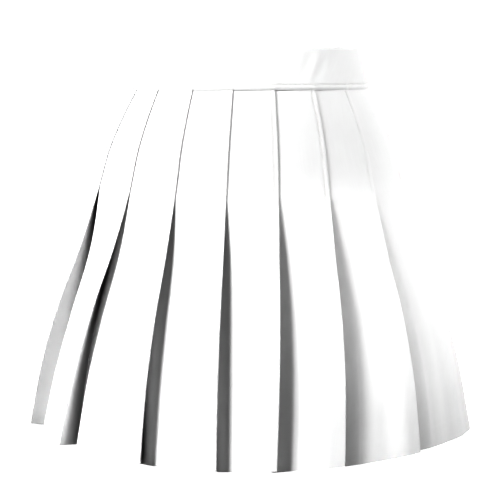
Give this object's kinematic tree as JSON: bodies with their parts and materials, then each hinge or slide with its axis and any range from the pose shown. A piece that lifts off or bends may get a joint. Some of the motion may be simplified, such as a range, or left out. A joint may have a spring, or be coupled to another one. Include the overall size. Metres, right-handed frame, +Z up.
{
  "type": "pleated mini skirt",
  "caption": "Knife-pleated mini skirt in white twill, pleats stitched down over the hips, on a plain waistband with a concealed back zip, in its worn hollow form.",
  "frame": {"origin": "middle of the waistband, at half its height, where the wearer's waist holds the skirt", "axes": "+Z up the wearer's body, -Y to the front of the skirt, +X to the wearer's left"},
  "size_m": [0.4701, 0.3119, 0.4179],
  "materials": {
    "white_cloth": "smooth white polyester twill, pressed",
    "zip_tape": "white woven tape",
    "nickel": "nickel plate, lightly polished"
  },
  "bodies": {
    "skirt": {"waistband": "white_cloth", "skirt_front": "white_cloth", "skirt_back_left": "white_cloth", "skirt_back_right": "white_cloth", "zip_tape_left": "zip_tape", "zip_tape_right": "zip_tape", "zip_slider": "nickel"},
    "pull": {"zip_pull": "nickel"}
  },
  "joints": [
    {"name": "pull_swing", "type": "hinge", "parent": "skirt", "child": "pull", "pos_m": [0.0159, 0.08261, 0.01138], "axis": [0.9955, -0.0949, 0], "range_deg": [0, 150]}
  ]
}
